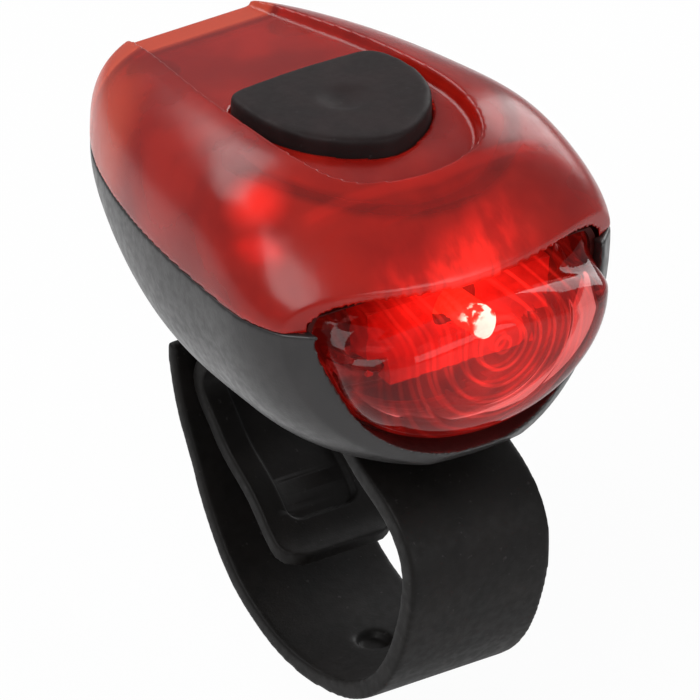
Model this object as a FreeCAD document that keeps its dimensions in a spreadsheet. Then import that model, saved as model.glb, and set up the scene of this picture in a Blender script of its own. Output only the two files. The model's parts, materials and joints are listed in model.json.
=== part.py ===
# Bike tail light on a rubber strap, an assembly of separate pieces.
# Millimetres. +Z is up, the beam points along -Y, and X runs along the bar or post.
# The part's origin is the middle of the bar space inside the strap.
# Each piece is drawn in the light's own frame: there y = 0 is the visor's corner,
# y grows towards the charging socket, and z = 0 is the plane where the shells part.

import FreeCAD
import Part
import math
import os
import re

doc = FreeCAD.newDocument("BikeTailLight")
V = FreeCAD.Vector

# Driving dimensions

SIZES = {
    "bar_to_visor": 9.9,
    "bar_to_parting": 25.8,
    "shell_length": 41.6,
    "shell_half_width": 18.6,
    "tail_half_width": 10.4,
    "cover_height": 11.2,
    "hull_depth": 17.0,
    "base_depth": 14.8,
    "wall": 1.3,
    "floor": 1.0,
    "fit": 0.1,
    "loose": 0.3,
    "front_taper": 3.0,
    "visor_corner_inset": 6.2,
    "visor_bulge": 2.2,
    "bezel_corner_inset": 4.0,
    "bezel_bulge": 3.65,
    "bezel_bevel": 1.2,
    "lens_side_margin": 3.6,
    "lens_bottom_margin": 1.3,
    "lens_top": 1.0,
    "lens_bulge": 6.3,
    "lens_wall": 1.3,
    "lens_seat": 1.6,
    "seal_thickness": 0.5,
    "flange_thickness": 1.2,
    "channel_half_width": 9.4,
    "channel_front": 5.0,
    "channel_wall_lean": 0.35,
    "button_middle": 18.0,
    "button_half_width": 8.3,
    "button_front": 10.2,
    "button_back": 25.4,
    "button_drop": 0.2,
    "button_travel": 0.8,
    "board_top": -1.3,
    "board_thickness": 1.0,
    "board_half_width": 13.6,
    "board_tail_half_width": 9.5,
    "board_back": 36.6,
    "led_board_front": 3.6,
    "led_board_thickness": 0.8,
    "led_board_half_width": 8.4,
    "led_board_top": 1.0,
    "led_board_bottom": -7.4,
    "led_height": -2.0,
    "led_radius": 1.5,
    "led_tip": -4.0,
    "led_rim_radius": 1.9,
    "led_rim_length": 1.0,
    "reflector_front": 0.6,
    "reflector_half_width": 9.6,
    "reflector_top": 0.0,
    "reflector_bottom": -7.2,
    "side_led_x": 10.0,
    "side_led_y": 17.0,
    "switch_width": 6.0,
    "switch_height": 3.5,
    "stem_radius": 1.6,
    "battery_width": 18.0,
    "battery_front": 6.4,
    "battery_length": 19.5,
    "battery_height": 6.8,
    "battery_foam": 1.0,
    "screw_x": 12.0,
    "front_screw_y": 10.2,
    "rear_screw_x": 8.0,
    "rear_screw_y": 30.6,
    "board_screw_radius": 0.8,
    "shell_screw_x": 7.2,
    "shell_screw_y": 36.0,
    "shell_screw_radius": 0.9,
    "shell_screw_seat": 4.0,
    "shell_screw_length": 8.0,
    "screw_head_height": 1.4,
    "socket_width": 7.5,
    "socket_height": 2.6,
    "socket_length": 5.6,
    "flap_half_width": 4.9,
    "flap_height": 4.4,
    "flap_thickness": 0.9,
    "flap_hinge_radius": 0.45,
    "flap_swing_room": 0.75,
    "strap_width": 14.6,
    "strap_pin_y": 31.4,
    "strap_pin_z": -16.2,
    "strap_pin_radius": 0.9,
    "strap_eye_radius": 2.0,
    "strap_eye_width": 8.4,
    "lug_width": 2.2,
    "lug_gap": 0.2,
    "strap_hole_y": 12.6,
    "strap_hole_radius": 1.5,
    "strap_front_thickness": 1.95,
    "strap_back_thickness": 1.1,
    "strap_peg_y": 9.6,
    "strap_peg_radius": 1.5,
    "mount_pad_width": 12.2,
    "mount_pad_corner": 2.6,
    "mount_pad_thickness": 1.5,
    "pad_peg_x": 2.8,
    "pad_peg_y": 19.5,
    "pad_peg_radius": 1.0,
}

sheet = doc.addObject("Spreadsheet::Sheet", "Sizes")
for row, (alias, number) in enumerate(SIZES.items(), start=1):
    sheet.set(f"A{row}", alias)
    sheet.set(f"B{row}", str(number))
    sheet.setAlias(f"B{row}", alias)
doc.recompute()


def size(alias):
    """The sheet's number, for shapes that follow a curve."""
    return float(sheet.get(alias))


def rule(text):
    """A binding written with plain size names."""
    return re.sub(r"[a-z][a-z_]+", lambda word: "Sizes." + word.group(0), str(text))


# Helpers that add one object each

def bind(item, **rules):
    for place, text in rules.items():
        item.setExpression(place.replace("_", "."), rule(text))
    return item


def set_base(item, x, y, z):
    item.setExpression("Placement.Base.x", rule(x))
    item.setExpression("Placement.Base.y", rule(y))
    item.setExpression("Placement.Base.z", rule(z))
    return item


def box(name, width, depth, height, x, y, z):
    """A block centred on x, with its front at y and its bottom at z."""
    item = doc.addObject("Part::Box", name)
    bind(item, Length=width, Width=depth, Height=height)
    return set_base(item, f"({x}) - ({width}) / 2", y, z)


TURNS = {
    "z": FreeCAD.Rotation(),
    "x": FreeCAD.Rotation(V(0, 1, 0), 90),
    "y": FreeCAD.Rotation(V(1, 0, 0), -90),
}


def rod(name, radius, length, x, y, z, along="z"):
    """A cylinder that starts at the point and runs along +X, +Y or +Z."""
    item = doc.addObject("Part::Cylinder", name)
    bind(item, Radius=radius, Height=length)
    item.Placement = FreeCAD.Placement(V(0, 0, 0), TURNS[along])
    return set_base(item, x, y, z)


def join(name, *parts):
    item = doc.addObject("Part::MultiFuse", name)
    item.Shapes = list(parts)
    return item


def overlap(name, *parts):
    item = doc.addObject("Part::MultiCommon", name)
    item.Shapes = list(parts)
    return item


def cut(name, base, *tools):
    """Takes the tools away one after the other."""
    for number, tool in enumerate(tools, start=1):
        last = number == len(tools)
        item = doc.addObject("Part::Cut", name if last else f"{name}_{number}")
        item.Base = base
        item.Tool = tool
        base = item
    return item


def group(name, *parts):
    """Separate solids that share one node."""
    item = doc.addObject("Part::Compound", name)
    item.Links = list(parts)
    return item


def outline(name, *edges):
    """A closed outline as a face."""
    item = doc.addObject("Part::Feature", name)
    item.Shape = Part.Face(Part.Wire(list(edges)))
    return item


def section(name, *edges):
    """A closed outline as a wire, for a loft."""
    item = doc.addObject("Part::Feature", name)
    item.Shape = Part.Wire(list(edges))
    return item


def loft(name, sections):
    item = doc.addObject("Part::Loft", name)
    item.Sections = sections
    item.Solid = True
    item.Ruled = False
    return item


def extrude(name, face, direction, length, symmetric=False):
    item = doc.addObject("Part::Extrusion", name)
    item.Base = face
    item.DirMode = "Custom"
    item.Dir = direction
    item.Solid = True
    item.Symmetric = symmetric
    bind(item, LengthFwd=length)
    return item


def round_edges(name, base, radius, pick):
    """A fillet on the edges of base that the test picks."""
    doc.recompute()
    chosen = [n for n, edge in enumerate(base.Shape.Edges, start=1) if pick(edge)]
    item = doc.addObject("Part::Fillet", name)
    item.Base = base
    item.Edges = [(n, radius, radius) for n in chosen]
    return item


def bevel_edges(name, base, width, pick):
    """A chamfer on the edges of base that the test picks."""
    doc.recompute()
    chosen = [n for n, edge in enumerate(base.Shape.Edges, start=1) if pick(edge)]
    item = doc.addObject("Part::Chamfer", name)
    item.Base = base
    item.Edges = [(n, width, width) for n in chosen]
    return item


def curve(points):
    spline = Part.BSplineCurve()
    spline.interpolate(points)
    return spline.toShape()


def line(start, end):
    return Part.makeLine(start, end)


nodes = []


def node(name, item):
    """Names a finished piece and puts it in the part's frame."""
    if item.TypeId in ("Part::Box", "Part::Cylinder"):
        item = group(name + "_piece", item)
    item.Label = name
    set_base(item, "0", "-bar_to_visor", "bar_to_parting")
    nodes.append(item)
    return item


# Outer form of the shells

# share of the length, crown height and hull depth as shares, and how square the arch is
STATIONS = [
    (-0.100, 0.04, 0.87, 2.0),
    (-0.058, 0.20, 0.90, 2.0),
    (0.000, 0.46, 0.94, 2.0),
    (0.060, 0.66, 0.965, 2.1),
    (0.145, 0.86, 0.985, 2.3),
    (0.290, 0.985, 1.00, 3.0),
    (0.480, 1.00, 1.00, 3.0),
    (0.670, 0.94, 0.90, 3.0),
    (0.840, 0.865, 0.655, 3.0),
    (0.940, 0.815, 0.46, 3.0),
    (1.000, 0.77, 0.345, 3.0),
]
HULL_SQUARENESS = 2.3
WIDEST = 0.16
ARCH_POINTS = 16
PAST_PARTING = 1.0
# length of a cutting form that reaches past the whole light
BEYOND = 60


def half_width(share):
    """The shells' half width at a share of their length."""
    if share < WIDEST:
        return size("shell_half_width") - size("front_taper") * ((WIDEST - share) / WIDEST) ** 2
    taper = size("shell_half_width") - size("tail_half_width")
    run = (share - WIDEST) / (1 - WIDEST)
    return size("shell_half_width") - taper * (0.8 * run ** 2 + 0.2 * run ** 8)


def arch(y, wide, high, square, past=0):
    """Half an oval over the parting plane, or under it when high is negative.

    A hollow's outline runs past the parting plane, so that it cuts right through.
    """
    points = []
    for step in range(ARCH_POINTS + 1):
        turn = math.pi * step / ARCH_POINTS
        across = math.cos(turn)
        up = math.sin(turn)
        x = wide * math.copysign(abs(across) ** (2 / square), across)
        points.append(V(x, y, high * up ** (2 / square)))
    if not past:
        return curve(points), line(points[-1], points[0])
    drop = V(0, 0, -math.copysign(past, high))
    corners = [points[-1], points[-1] + drop, points[0] + drop, points[0]]
    return curve(points), *(line(a, b) for a, b in zip(corners, corners[1:]))


def cover_form(name, shrink):
    parts = []
    for number, (share, crown, _, square) in enumerate(STATIONS[1:]):
        wide = half_width(share) - shrink
        high = max(size("cover_height") * crown - 0.8 * shrink, 0.5)
        y = size("shell_length") * share - (shrink if share == 1 else 0)
        past = PAST_PARTING if shrink else 0
        parts.append(section(f"{name}_{number}", *arch(y, wide, high, square, past)))
    return loft(name, parts)


def hull_form(name, shrink):
    parts = []
    for number, (share, _, depth, _) in enumerate(STATIONS):
        wide = half_width(share) - shrink
        deep = size("hull_depth") * depth - shrink
        y = size("shell_length") * share - (shrink if share == 1 else 0)
        past = PAST_PARTING if shrink else 0
        parts.append(section(f"{name}_{number}", *arch(y, wide, -deep, HULL_SQUARENESS, past)))
    return loft(name, parts)


def front_arc(name, bulge, inset):
    """A tall round block whose front is the shells' curve seen from above."""
    corner = size("shell_half_width") - size(inset)
    radius = corner ** 2 / (2 * size(bulge)) + size(bulge) / 2
    item = doc.addObject("Part::Cylinder", name)
    item.Radius = radius
    item.Height = BEYOND
    place = V(0, radius - size(bulge), -BEYOND / 2)
    item.Placement = FreeCAD.Placement(place, FreeCAD.Rotation())
    return item


# Sunken channel on the cover

CHANNEL_MOUTH = size("cover_height") - 0.8
CHANNEL_LOW = size("cover_height") - 6.2
CHANNEL_HIGH = size("cover_height") + 1.8

# share of the length, and depth of the channel's floor under the crown
CHANNEL_FLOOR = [
    (1.00, 4.00), (0.84, 3.30), (0.66, 2.50), (0.42, 1.85), (0.27, 2.00), (0.17, 2.90), (0.09, 4.30),
]


def channel_outline(name, height, grow):
    """The channel's outline at a height: its walls lean out as they rise."""
    lean = size("channel_wall_lean") * (height - CHANNEL_MOUTH) + grow
    wide = size("channel_half_width") + lean
    front = size("channel_front") - lean
    back = size("shell_length") + 2
    half = [
        V(0.74 * wide, back, height),
        V(0.79 * wide, 0.87 * back, height),
        V(0.95 * wide, 0.62 * back, height),
        V(wide, 0.44 * back, height),
        V(0.96 * wide, front + 6.2, height),
        V(0.76 * wide, front + 2.0, height),
        V(0.42 * wide, front + 0.5, height),
    ]
    points = half + [V(0, front, height)]
    points += [V(-p.x, p.y, p.z) for p in reversed(half)]
    return section(name, curve(points), line(points[-1], points[0]))


def channel_form(name, grow):
    low = channel_outline(name + "_low", CHANNEL_LOW, grow)
    high = channel_outline(name + "_high", CHANNEL_HIGH, grow)
    walls = loft(name + "_walls", [low, high])
    back = size("shell_length") + 3
    crown = size("cover_height")
    floor = [V(0, share * back, crown - depth - grow) for share, depth in CHANNEL_FLOOR]
    edges = [
        curve(floor),
        line(floor[-1], V(0, floor[-1].y, CHANNEL_HIGH)),
        line(V(0, floor[-1].y, CHANNEL_HIGH), V(0, back, CHANNEL_HIGH)),
        line(V(0, back, CHANNEL_HIGH), floor[0]),
    ]
    side = outline(name + "_side", *edges)
    space = extrude(name + "_space", side, V(1, 0, 0), "2 * shell_half_width", True)
    return overlap(name, walls, space)


# Lens outline seen from the front

BEAM_Z = -2.4


# shares of the lens's half width and of its drop under the parting plane
LENS_SIDE = [(1.0, 0.06), (0.933, 0.296), (0.774, 0.637), (0.537, 0.874), (0.28, 0.978)]
LENS_SHOULDER = 0.957


def lens_outline(y, scale, rise=0):
    """With a rise, the top is an arc up to that share of the lens's top, for the dome."""
    wide = size("shell_half_width") - size("lens_side_margin")
    drop = size("base_depth") - size("lens_bottom_margin")
    half = [V(LENS_SHOULDER * wide, y, size("lens_top"))]
    half += [V(across * wide, y, -down * drop) for across, down in LENS_SIDE]
    points = half + [V(0, y, -drop)]
    points += [V(-p.x, p.y, p.z) for p in reversed(half)]
    grown = [V(p.x * scale, p.y, BEAM_Z + (p.z - BEAM_Z) * scale) for p in points]
    if not rise:
        return curve(grown), line(grown[-1], grown[0])
    crown = V(0, y, BEAM_Z + (size("lens_top") - BEAM_Z) * rise + DOME_CROWN)
    return curve(grown), Part.Arc(grown[-1], crown, grown[0]).toShape()


SKIRT_SCALE = 0.95
FLANGE_SCALE = 1.02
BORE_SCALE = 0.86
GASKET_BORE_SCALE = 0.98
DOME_SQUARENESS = 2.5
DOME_TOP_SQUARENESS = 3.2
DOME_CROWN = 0.04
DOME_STEPS = (0.0, 0.3, 0.52, 0.7, 0.84, 0.93, 0.98, 0.998)


def lens_prism(name, scale, y, depth):
    """A straight block with the lens's outline."""
    face = outline(name + "_outline", *lens_outline(size("lens_seat"), scale))
    face.Placement.Base.y = y - size("lens_seat")
    item = doc.addObject("Part::Extrusion", name)
    item.Base = face
    item.DirMode = "Custom"
    item.Dir = V(0, 1, 0)
    item.Solid = True
    item.LengthFwd = depth
    return item


def dome(name, scale, base, tip):
    parts = []
    for number, share in enumerate(DOME_STEPS):
        shrink = (1 - share ** DOME_SQUARENESS) ** (1 / DOME_SQUARENESS)
        rise = (1 - share ** DOME_TOP_SQUARENESS) ** (1 / DOME_TOP_SQUARENESS)
        y = base + (tip - base) * share
        edges = lens_outline(y, scale * shrink, scale * rise)
        parts.append(section(f"{name}_{number}", *edges))
    return loft(name, parts)


flange_front = size("lens_seat") + size("seal_thickness")
flange_back = flange_front + size("flange_thickness")


def make_lens():
    outer = dome("lens_outer", SKIRT_SCALE, flange_front, -size("lens_bulge"))
    flange = lens_prism("lens_flange", FLANGE_SCALE, flange_front, size("flange_thickness"))
    hollow_tip = size("lens_wall") - size("lens_bulge")
    hollow = dome("lens_hollow", BORE_SCALE, flange_back + 1, hollow_tip)
    body = join("lens_body", outer, flange)
    node("lens", cut("lens_piece", body, hollow))


def make_lens_gasket():
    outer = lens_prism("gasket_outer", FLANGE_SCALE, size("lens_seat"), size("seal_thickness"))
    inner = lens_prism("gasket_inner", GASKET_BORE_SCALE, size("lens_seat") - 1,
                       size("seal_thickness") + 2)
    node("lens_gasket", cut("gasket", outer, inner))


# Seal in the parting line

SEAL_OUTER_INSET = 0.45
SEAL_INNER_INSET = 0.9
SEAL_DEPTH = 0.6
SEAL_START = 4.0
SEAL_TAIL_GAP = 0.35
SEAL_POINTS = 12


def seal_band(name, inset, depth):
    """A flat plate under the parting plane, inset from the shells' edge."""
    points = []
    front = size("lens_seat") + SEAL_START
    run = size("shell_length") - SEAL_TAIL_GAP - front
    for step in range(SEAL_POINTS + 1):
        y = front + run * step / SEAL_POINTS
        points.append(V(half_width(y / size("shell_length")) - inset, y, 0))
    back = size("shell_length") - inset
    points[-1] = V(points[-1].x, back, 0)
    mirrored = [V(-p.x, p.y, p.z) for p in reversed(points)]
    edges = [curve(points), line(points[-1], mirrored[0]), curve(mirrored)]
    edges.append(line(mirrored[-1], points[0]))
    face = outline(name + "_outline", *edges)
    return extrude(name, face, V(0, 0, -1), depth)


def seal_ring(name):
    outer = seal_band(name + "_outer", SEAL_OUTER_INSET, SEAL_DEPTH)
    inner = seal_band(name + "_inner", SEAL_INNER_INSET, SEAL_DEPTH + 1)
    gap = box(name + "_front", BEYOND, 1.5, 4, "0", f"lens_seat + {SEAL_START} - 0.5", "-3")
    return cut(name, outer, inner, gap)


# Battery and boards

def make_battery():
    floor = "floor - base_depth"
    foam = box("foam", "battery_width - 5", "battery_length - 2", "battery_foam", "0",
               "battery_front + 1", floor)
    node("battery_pad", foam)
    cell = box("cell", "battery_width", "battery_length", "battery_height", "0",
               "battery_front", floor + " + battery_foam")
    rounded = round_edges("cell_rounded", cell, 1.2, lambda edge: abs(edge.tangentAt(0).y) > 0.9)
    node("battery", rounded)
    tabs = []
    bottom = floor + " + battery_foam + battery_height * 0.6"
    top = "board_top - board_thickness"
    for side in (-1, 1):
        x = f"{3 * side}"
        back = "battery_front + battery_length"
        upright = box(f"tab_upright_{side}", "2.4", "0.25", f"{top} - ({bottom})", x, back, bottom)
        foot = box(f"tab_foot_{side}", "2.4", "1.6", "0.25", x, back, f"{top} - 0.25")
        tabs.append(join(f"tab_{side}", upright, foot))
    node("battery_tabs", group("tabs", *tabs))


def screw_holes(name, radius, bottom, height):
    """Rods at the four places where screws hold the board."""
    rods = []
    for side in (-1, 1):
        rods.append(rod(f"{name}_front_{side}", radius, height, f"{side} * screw_x",
                        "front_screw_y", bottom))
        rods.append(rod(f"{name}_rear_{side}", radius, height, f"{side} * rear_screw_x",
                        "rear_screw_y", bottom))
    return rods


def make_main_board():
    bottom = "board_top - board_thickness"
    wide = "2 * board_half_width"
    front = "led_board_front + led_board_thickness"
    plate = box("board_wide", wide, f"shell_length * 0.6 - ({front})", "board_thickness",
                "0", front, bottom)
    tail = box("board_tail", "2 * board_tail_half_width", f"board_back - ({front}) - 2",
               "board_thickness", "0", f"{front} + 2", bottom)
    notches = []
    for side in (-1, 1):
        notches.append(rod(f"board_notch_{side}", "shell_screw_radius * 3.2", 4,
                           f"{side} * shell_screw_x", "shell_screw_y", "board_top - 2"))
    drill = screw_holes("board_hole", "board_screw_radius + fit", "board_top - 3", 6)
    blank = join("board_blank", plate, tail)
    node("main_board", cut("board", blank, *drill, *notches))


def make_board_screws():
    screws = []
    shanks = screw_holes("board_shank", "board_screw_radius", "board_top - 4.6", 4.6)
    heads = screw_holes("board_head", "board_screw_radius * 1.9", "board_top", 0.9)
    slots = screw_holes("board_slot", "board_screw_radius * 0.7", "board_top + 0.45", 1)
    for number, (shank, head, slot) in enumerate(zip(shanks, heads, slots)):
        joined = join(f"board_screw_{number}_solid", shank, head)
        screws.append(cut(f"board_screw_{number}", joined, slot))
    node("board_screws", group("board_screw_set", *screws))


PIN_COUNT = 4
PIN_PITCH = 2.54
PIN_RADIUS = 0.3


def pin_row(name, front, length):
    """A row of rods that rest on the main board."""
    row = []
    for number in range(PIN_COUNT):
        x = (number - (PIN_COUNT - 1) / 2) * PIN_PITCH
        row.append(rod(f"{name}_{number}", PIN_RADIUS, length, x, front,
                       f"board_top + {PIN_RADIUS}", "y"))
    return row


def make_led_board():
    depth = "led_board_thickness"
    plate = box("led_plate", "2 * led_board_half_width", depth, "led_board_top - led_board_bottom",
                "0", "led_board_front", "led_board_bottom")
    holes = pin_row("pin_hole", "led_board_front - 2", 6)
    node("led_board", cut("led_board_drilled", plate, *holes))
    pins = pin_row("board_pin", "led_board_front", 3.5)
    node("board_pins", group("pins", *pins))


def make_main_led():
    """A round-nosed emitter that stands on the front board."""
    nose = "led_tip + led_radius"
    rim = rod("led_rim", "led_rim_radius", "led_rim_length", "0",
              "led_board_front - led_rim_length", "led_height", "y")
    body = rod("led_body", "led_radius", f"led_board_front - ({nose})", "0", nose, "led_height", "y")
    bulb = doc.addObject("Part::Sphere", "led_bulb")
    bind(bulb, Radius="led_radius")
    set_base(bulb, "0", nose, "led_height")
    node("main_led", join("led", rim, body, bulb))


def make_reflector():
    front = "reflector_front"
    depth = "led_board_front - reflector_front"
    tall = "reflector_top - reflector_bottom"
    block = box("reflector_block", "2 * reflector_half_width", depth, tall, "0", front,
                "reflector_bottom")
    hollow = box("reflector_hollow", "2 * reflector_half_width - 2", depth, f"{tall} - 2", "0",
                 f"{front} + 1", "reflector_bottom + 1")
    eye = rod("reflector_eye", "2.6", 4, "0", f"{front} - 1", "led_height", "y")
    steps = []
    for side in (-1, 1):
        steps.append(box(f"reflector_step_{side}", 4.4, 6, 1.6, f"{side} * reflector_half_width",
                         f"{front} - 1", "reflector_bottom - 0.1"))
    slot = box("reflector_slot", 3.2, 2, 0.7, "0", f"{front} - 1", "reflector_bottom + 1.6")
    node("reflector", cut("reflector_piece", block, hollow, eye, slot, *steps))


def make_side_leds():
    leds = []
    for side in (-1, 1):
        x = f"{side} * side_led_x"
        carrier = box(f"side_carrier_{side}", 3, 3, 0.8, x, "side_led_y - 1.5", "board_top")
        lamp = rod(f"side_lamp_{side}", "1.1", 1.2, x, "side_led_y", "board_top")
        leds.append(join(f"side_led_{side}", carrier, lamp))
    node("side_leds", group("side_led_pair", *leds))


# width, height and place on the board of each flat part
CONTROL_CHIP = (4.0, 0.9, -7.5, 10.5)
CHARGE_CHIP = (3.0, 0.9, 5.2, 26.6)
COIL_RADIUS = 2.0
COIL_HEIGHT = 1.8
COIL_PLACE = (8.2, 11.6)
CAPACITOR_PLACES = [
    (-11.6, 5.2), (-9.9, 5.2), (11.6, 5.2), (-3.4, 9.2), (-1.6, 9.2), (3.0, 9.4), (-6.4, 27.4),
    (-4.6, 27.4),
]


def chip(name, width, height, x, y):
    return box(name, width, width, height, x, y, "board_top")


def make_chips():
    node("control_chip", chip("chip", *CONTROL_CHIP))
    node("charge_chip", chip("charger", *CHARGE_CHIP))
    node("power_coil", rod("coil", COIL_RADIUS, COIL_HEIGHT, *COIL_PLACE, "board_top"))
    small = []
    for number, (x, y) in enumerate(CAPACITOR_PLACES):
        small.append(box(f"capacitor_{number}", 0.9, 1.6, 0.8, x, y, "board_top"))
    node("capacitors", group("capacitor_set", *small))


# Button and switch

def button_outline(name, height, grow):
    wide = size("button_half_width") + grow
    front = size("button_front") - grow
    back = size("button_back") + grow
    long = back - front
    right = [
        V(0, front, height),
        V(0.34 * wide, front + 0.05 * long, height),
        V(0.66 * wide, front + 0.17 * long, height),
        V(0.90 * wide, front + 0.36 * long, height),
        V(1.00 * wide, front + 0.60 * long, height),
        V(0.985 * wide, front + 0.80 * long, height),
        V(0.92 * wide, front + 0.92 * long, height),
        V(0.78 * wide, front + 0.975 * long, height),
    ]
    left = [V(-p.x, p.y, p.z) for p in reversed(right[1:])]
    backs = Part.Arc(right[-1], V(0, back, height), left[0]).toShape()
    return curve(left + right), backs


def button_prism(name, grow, bottom, top):
    face = outline(name + "_outline", *button_outline(name, bottom, grow))
    item = doc.addObject("Part::Extrusion", name)
    item.Base = face
    item.DirMode = "Custom"
    item.Dir = V(0, 0, 1)
    item.Solid = True
    item.LengthFwd = top - bottom
    return item


BUTTON_TOP = size("cover_height") - size("button_drop")
FLANGE_TOP = size("cover_height") - 4.0
FLANGE_REACH = 0.7
FLANGE_DEPTH = 1.0
CROWN_RADIUS = 60
DIMPLE_RADIUS = 6.5
DIMPLE_DEPTH = 0.5


def stem_top():
    return size("board_top") + size("switch_height") + size("button_travel") + size("fit")


def make_button():
    inside = FLANGE_TOP - FLANGE_DEPTH / 2
    cap = button_prism("button_cap", 0, inside, BUTTON_TOP + 2)
    dish = doc.addObject("Part::Cylinder", "button_crown")
    dish.Radius = CROWN_RADIUS
    dish.Height = BEYOND / 2
    place = V(-BEYOND / 4, size("button_middle") - 1, BUTTON_TOP - CROWN_RADIUS)
    dish.Placement = FreeCAD.Placement(place, TURNS["x"])
    crowned = overlap("button_crowned", cap, dish)
    flange = button_prism("button_flange", FLANGE_REACH, FLANGE_TOP - FLANGE_DEPTH, FLANGE_TOP)
    nub_bottom = stem_top() + size("fit") / 2
    nub = rod("button_nub", "stem_radius + 0.4", inside - nub_bottom, "0", "button_middle",
              nub_bottom)
    dimple = doc.addObject("Part::Sphere", "button_dimple")
    dimple.Radius = DIMPLE_RADIUS
    set_base(dimple, "0", "button_middle", BUTTON_TOP + DIMPLE_RADIUS - DIMPLE_DEPTH)
    body = join("button_body", crowned, flange, nub)
    node("button", cut("button_piece", body, dimple))


def make_switch():
    width = "switch_width"
    body = box("switch_block", width, width, "switch_height", "0", f"button_middle - {width} / 2",
               "board_top")
    well = rod("switch_well", "stem_radius + fit / 2", "switch_height", "0", "button_middle",
               "board_top + switch_height - 2 * button_travel - fit")
    node("button_switch", cut("switch", body, well))
    seat = "button_travel + fit / 2"
    stem = rod("stem", "stem_radius", f"button_travel + fit + {seat}", "0", "button_middle",
               f"board_top + switch_height - ({seat})")
    node("switch_stem", stem)


# Charging socket and its flap

SOCKET_TOP = size("board_top") - size("board_thickness")


def make_socket():
    width = "socket_width"
    height = "socket_height"
    front = "shell_length - wall - socket_length - 0.4"
    bottom = "board_top - board_thickness - socket_height"
    shell = box("socket_block", width, "socket_length", height, "0", front, bottom)
    space = box("socket_space", f"{width} - 0.6", "socket_length", f"{height} - 0.6", "0",
                f"{front} + 0.6", f"{bottom} + 0.3")
    node("usb_socket", cut("socket", shell, space))
    middle = f"{bottom} + {height} / 2 - 0.3"
    tongue = box("socket_tongue", f"{width} - 2.6", "socket_length - 1.6", 0.6, "0",
                 f"{front} + 0.6", middle)
    node("usb_tongue", tongue)


def flap_middle_z():
    return SOCKET_TOP - size("socket_height") / 2


def make_flap():
    low = flap_middle_z() - size("flap_height") / 2
    front = "shell_length - flap_thickness"
    plate = box("flap_plate", "2 * flap_half_width - 0.3", "flap_thickness", "flap_height",
                "0.15", front, f"{low}")
    barrel = rod("flap_barrel", "flap_hinge_radius", "flap_height", "-flap_half_width",
                 "shell_length - flap_thickness / 2", f"{low}")
    plug = box("flap_plug", "socket_width - 1.4", 0.6, "socket_height - 0.8", "0.2",
               f"{front} - 0.6", f"{flap_middle_z()} - (socket_height - 0.8) / 2")
    grip = box("flap_grip", 1.2, 0.5, "flap_height - 1.2", "flap_half_width - 1.0",
               "shell_length", f"{low} + 0.6")
    node("usb_cover", join("flap", plate, barrel, plug, grip))


def flap_recess():
    low = flap_middle_z() - size("flap_height") / 2 - 0.15
    room = box("flap_room", "2 * flap_half_width + 0.1", "flap_thickness + 1",
               "flap_height + 0.3", "0.15", "shell_length - flap_thickness - 0.05", f"{low}")
    groove = rod("flap_groove", "flap_hinge_radius + fit / 2", "flap_height + 0.3",
                 "-flap_half_width", "shell_length - flap_thickness / 2", f"{low}")
    lip = box("flap_lip", "flap_swing_room", "flap_thickness + 1", "flap_height + 0.3",
              "-flap_half_width - flap_swing_room / 2", "shell_length - flap_thickness / 2", f"{low}")
    mouth = box("socket_mouth", "socket_width + 0.4", 6, "socket_height + 0.4", "0",
                "shell_length - 4", f"{flap_middle_z()} - (socket_height + 0.4) / 2")
    return room, groove, lip, mouth


# Shells

def make_cover():
    outer = cover_form("cover_outer", 0)
    inner = cover_form("cover_inner", size("wall"))
    visor = front_arc("visor_arc", "visor_bulge", "visor_corner_inset")
    channel = channel_form("channel", 0)
    roof = channel_form("channel_roof", size("wall"))
    block = overlap("cover_block", outer, visor)
    skin = cut("cover_skin", block, channel)
    rib = box("cover_rib", BEYOND, 1.4, "cover_height + 0.8", "0", f"{flange_back + 0.2}", "1.2")
    bosses = []
    holes = []
    for side in (-1, 1):
        x = f"{side} * shell_screw_x"
        bosses.append(rod(f"cover_boss_{side}", "shell_screw_radius + 1.2", "cover_height", x,
                          "shell_screw_y", 0))
        holes.append(rod(f"cover_hole_{side}", "shell_screw_radius",
                         "shell_screw_length - shell_screw_seat + 1.2", x, "shell_screw_y", -0.5))
    room = cut("cover_room", inner, roof, rib, *bosses)
    hole = button_prism("button_hole", size("fit"), CHANNEL_LOW - 2, CHANNEL_HIGH + 1)
    node("top_cover", cut("cover", skin, room, hole, *holes))


HEAD_RADIUS = "shell_screw_radius * 2.1"


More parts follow.
